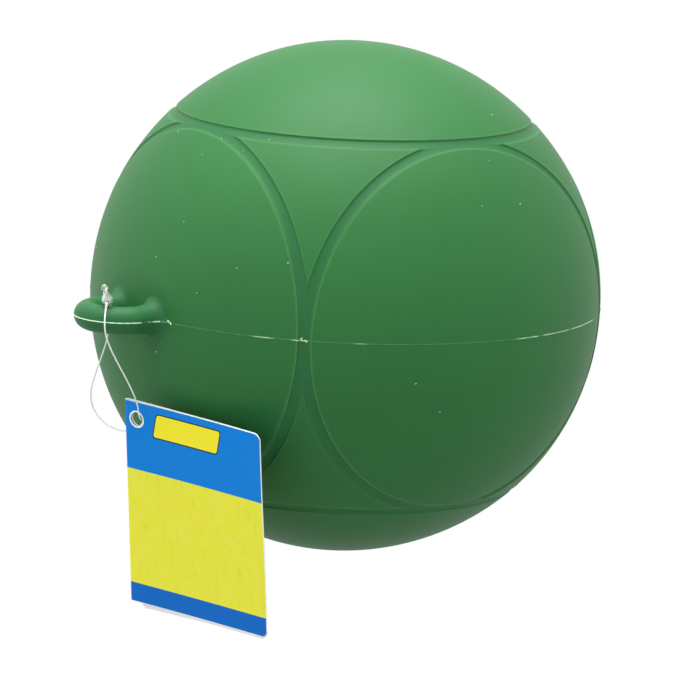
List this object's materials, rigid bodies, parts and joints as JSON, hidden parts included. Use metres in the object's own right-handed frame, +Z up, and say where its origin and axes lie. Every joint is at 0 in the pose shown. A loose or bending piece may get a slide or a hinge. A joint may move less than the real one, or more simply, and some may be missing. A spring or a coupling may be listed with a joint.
{
  "type": "slalom buoy",
  "caption": "Ball buoy for a water-ski slalom course: hollow moulded ball with circular grooves, a moulded anchor loop on its side, and a folded hang tag on a loop fastener.",
  "frame": {"origin": "centre of the ball, on the waterline of an anchored buoy", "axes": "+Z up through the pole of the ball, -Y out through the anchor loop, +X to the right as seen from the loop's side"},
  "size_m": [0.2288, 0.2563, 0.2494],
  "materials": {
    "green_vinyl": "satin moulded vinyl, slightly mottled",
    "clear_nylon": "milky nylon",
    "printed_card": "coated card, printed in blue and yellow"
  },
  "bodies": {
    "buoy": {"ball_shell": "green_vinyl", "anchor_loop": "green_vinyl"},
    "fastener": {"fastener_strand": "clear_nylon", "fastener_socket": "clear_nylon", "fastener_tip": "clear_nylon"},
    "tag": {"hang_tag": "printed_card"}
  },
  "joints": [
    {"name": "fastener_swing", "type": "hinge", "parent": "buoy", "child": "fastener", "pos_m": [0.00732, -0.13326, 0], "axis": [-0.829, -0.5592, 0], "range_deg": [-1, 75]},
    {"name": "tag_turn", "type": "hinge", "parent": "fastener", "child": "tag", "pos_m": [0.01306, -0.11718, -0.0448], "axis": [0.3045, -0.9372, -0.1702], "range_deg": [-40, 10]}
  ]
}
